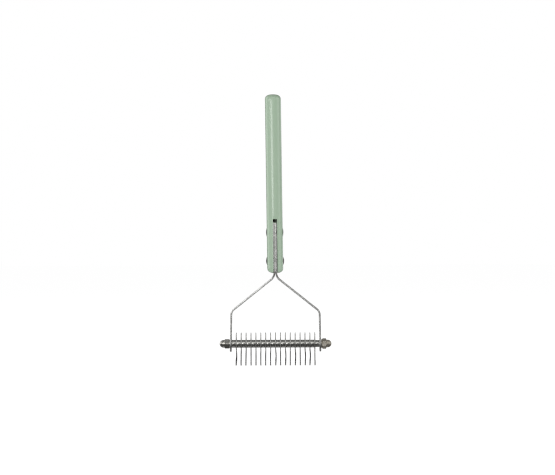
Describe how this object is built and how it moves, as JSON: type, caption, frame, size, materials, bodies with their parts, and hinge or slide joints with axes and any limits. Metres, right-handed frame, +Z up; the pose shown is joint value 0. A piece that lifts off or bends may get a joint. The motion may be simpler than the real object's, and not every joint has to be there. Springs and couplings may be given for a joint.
{
  "type": "deshedding tool",
  "caption": "Stripping rake for long coats: slotted wooden handle, bent steel yoke, and a clamped row of hooked blades on a threaded rod with dome nuts.",
  "frame": {"origin": "on the floor plane under the hooks' lowest points, midway across and midway through the depth of the tool", "axes": "+Z up the handle from the blades to the grip's end, +X along the threaded rod to the side with the thinner end collar, +Y towards the tool's back; the hooks point towards -Y"},
  "size_m": [0.0848, 0.02, 0.2053],
  "materials": {
    "sage_lacquer": "wood lacquered sage green, satin",
    "arm_steel": "polished stainless strip",
    "blade_steel": "ground stainless blade steel",
    "tube_steel": "bright turned steel tube",
    "rod_steel": "rolled steel thread",
    "nut_steel": "nickel plate, slightly warm",
    "rivet_steel": "darkened steel"
  },
  "bodies": {
    "handle_frame": {"handle": "sage_lacquer", "arm_left": "arm_steel", "arm_right": "arm_steel", "rivet_upper": "rivet_steel", "rivet_lower": "rivet_steel"},
    "blade_pack": {"threaded_rod": "rod_steel", "blade_01": "blade_steel", "blade_02": "blade_steel", "blade_03": "blade_steel", "blade_04": "blade_steel", "blade_05": "blade_steel", "blade_06": "blade_steel", "blade_07": "blade_steel", "blade_08": "blade_steel", "blade_09": "blade_steel", "blade_10": "blade_steel", "blade_11": "blade_steel", "blade_12": "blade_steel", "blade_13": "blade_steel", "blade_14": "blade_steel", "blade_15": "blade_steel", "blade_16": "blade_steel", "blade_17": "blade_steel", "spacer_01": "tube_steel", "spacer_02": "tube_steel", "spacer_03": "tube_steel", "spacer_04": "tube_steel", "spacer_05": "tube_steel", "spacer_06": "tube_steel", "spacer_07": "tube_steel", "spacer_08": "tube_steel", "spacer_09": "tube_steel", "spacer_10": "tube_steel", "spacer_11": "tube_steel", "spacer_12": "tube_steel", "spacer_13": "tube_steel", "spacer_14": "tube_steel", "spacer_15": "tube_steel", "spacer_16": "tube_steel", "end_collar_left": "tube_steel", "end_collar_right": "tube_steel"},
    "washer_left": {"lock_washer_left": "nut_steel"},
    "nut_left": {"dome_nut_left": "nut_steel"},
    "washer_right": {"lock_washer_right": "nut_steel"},
    "nut_right": {"dome_nut_right": "nut_steel"}
  },
  "joints": [
    {"name": "blade_swing", "type": "hinge", "parent": "handle_frame", "child": "blade_pack", "pos_m": [0, 0.0025, 0.01615], "axis": [1, 0, 0], "continuous": true},
    {"name": "nut_travel_left", "type": "slide", "parent": "blade_pack", "child": "washer_left", "axis": [-1, 0, 0], "range_m": [0, 0.00385]},
    {"name": "nut_turn_left", "type": "hinge", "parent": "washer_left", "child": "nut_left", "pos_m": [-0.03694, 0.0025, 0.01615], "axis": [-1, 0, 0], "range_deg": [0, 1981]},
    {"name": "nut_travel_right", "type": "slide", "parent": "blade_pack", "child": "washer_right", "axis": [1, 0, 0], "range_m": [0, 0.00385]},
    {"name": "nut_turn_right", "type": "hinge", "parent": "washer_right", "child": "nut_right", "pos_m": [0.03694, 0.0025, 0.01615], "axis": [1, 0, 0], "range_deg": [0, 1981]}
  ],
  "couplings": [
    {"joint": "nut_turn_left", "follows": "nut_travel_left", "rad_per_m": 8976},
    {"joint": "nut_turn_right", "follows": "nut_travel_right", "rad_per_m": 8976}
  ]
}
